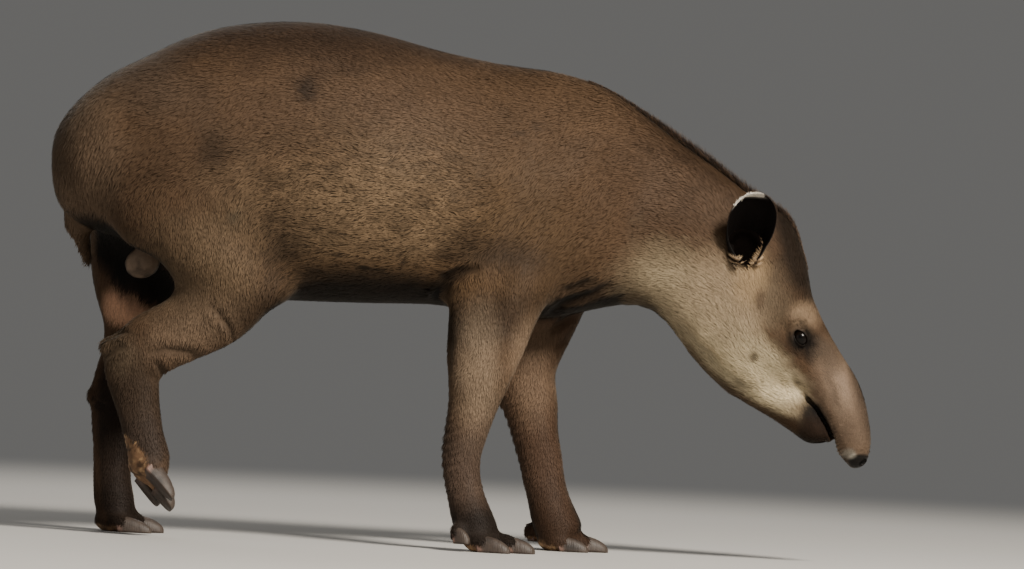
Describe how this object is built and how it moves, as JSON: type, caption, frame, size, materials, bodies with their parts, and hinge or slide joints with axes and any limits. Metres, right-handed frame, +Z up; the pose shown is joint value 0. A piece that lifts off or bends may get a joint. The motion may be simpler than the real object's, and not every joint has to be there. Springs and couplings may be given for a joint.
{
  "type": "lowland tapir",
  "caption": "Life-size lowland tapir, still, walking with its head lowered and one hind foot lifted, with a low neck mane.",
  "frame": {"origin": "on the floor, under the middle of the animal's length and width", "axes": "+X towards the head, +Y to the animal's left, +Z up"},
  "size_m": [1.6655, 0.4718, 1.0398],
  "materials": {
    "coat": "short dense hair over hide",
    "ear": "thin haired skin with a pale rim",
    "eye": "wet and glossy",
    "hoof": "smooth horn",
    "skin": "bare skin"
  },
  "bodies": {
    "root": {"ear_left": "ear", "ear_right": "ear", "eye_left": "eye", "eye_right": "eye", "foreleg_left": "coat", "foreleg_right": "coat", "head": "coat", "hindleg_left": "coat", "hindleg_right": "coat", "hoof_fore_left_inner": "hoof", "hoof_fore_left_little": "hoof", "hoof_fore_left_middle": "hoof", "hoof_fore_left_outer": "hoof", "hoof_fore_right_inner": "hoof", "hoof_fore_right_little": "hoof", "hoof_fore_right_middle": "hoof", "hoof_fore_right_outer": "hoof", "hoof_hind_left_inner": "hoof", "hoof_hind_left_middle": "hoof", "hoof_hind_left_outer": "hoof", "hoof_hind_right_inner": "hoof", "hoof_hind_right_middle": "hoof", "hoof_hind_right_outer": "hoof", "neck": "coat", "scrotum": "skin", "tail": "coat", "torso": "coat"}
  },
  "joints": []
}
